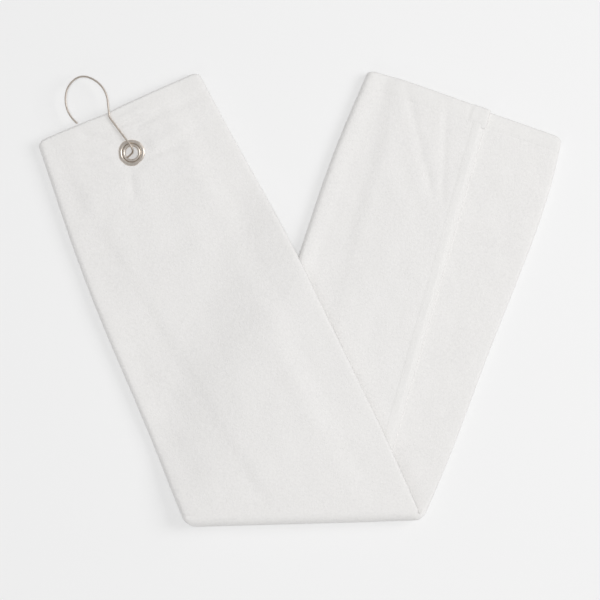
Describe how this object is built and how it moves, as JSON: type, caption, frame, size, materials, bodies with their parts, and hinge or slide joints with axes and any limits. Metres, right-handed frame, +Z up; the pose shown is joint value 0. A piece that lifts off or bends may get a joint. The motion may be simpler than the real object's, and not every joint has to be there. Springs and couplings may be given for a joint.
{
  "type": "golf towel",
  "caption": "Trifold cotton golf towel folded again on the skew into a V, with hems, a metal grommet near one end and a bent wire bag hook.",
  "frame": {"origin": "centre of the folded towel's bounding box, on the surface it lies on", "axes": "+X along the longest side, from the upper leg with the hook to the lower leg; +Y from the turn to the open end of the V; +Z up, the thin direction"},
  "size_m": [0.3802, 0.3342, 0.0165],
  "materials": {
    "terry_cloth": "matt cotton terry velour",
    "hem_cloth": "matt folded and sewn cotton",
    "sewing_thread": "matt spun thread",
    "grommet_metal": "warm nickel plate, slightly worn",
    "wire_metal": "nickel plated spring wire"
  },
  "bodies": {
    "lower_leg": {"lower_middle_panel": "terry_cloth", "lower_inner_flap": "terry_cloth", "lower_outer_flap": "terry_cloth", "lower_inner_hem": "hem_cloth", "lower_outer_hem": "hem_cloth", "lower_end_hem": "hem_cloth", "lower_end_stitches": "sewing_thread", "lower_outer_stitches": "sewing_thread"},
    "flap_corner": {"corner_panel": "terry_cloth", "corner_long_hem": "hem_cloth", "corner_end_hem": "hem_cloth", "corner_long_stitches": "sewing_thread", "corner_end_stitches": "sewing_thread"},
    "upper_leg": {"upper_middle_panel": "terry_cloth", "upper_inner_flap": "terry_cloth", "upper_outer_flap": "terry_cloth", "upper_inner_hem": "hem_cloth", "upper_outer_hem": "hem_cloth", "upper_end_hem": "hem_cloth", "upper_end_stitches": "sewing_thread", "grommet_eyelet": "grommet_metal", "grommet_washer": "grommet_metal"},
    "hook": {"hook_wire": "wire_metal"}
  },
  "joints": [
    {"name": "v_fold", "type": "hinge", "parent": "lower_leg", "child": "upper_leg", "pos_m": [-0.07778, -0.16625, 0.00805], "axis": [0.9996, 0.0279, 0], "range_deg": [0, 179.5]},
    {"name": "flap_corner_peel", "type": "hinge", "parent": "lower_leg", "child": "flap_corner", "pos_m": [0.07276, 0.16101, 0.0086], "axis": [0.0151, -0.9999, 0], "range_deg": [0, 170]},
    {"name": "hook_swing", "type": "hinge", "parent": "upper_leg", "child": "hook", "pos_m": [-0.12335, 0.10681, 0.0057], "axis": [0, 0, 1], "continuous": true}
  ]
}
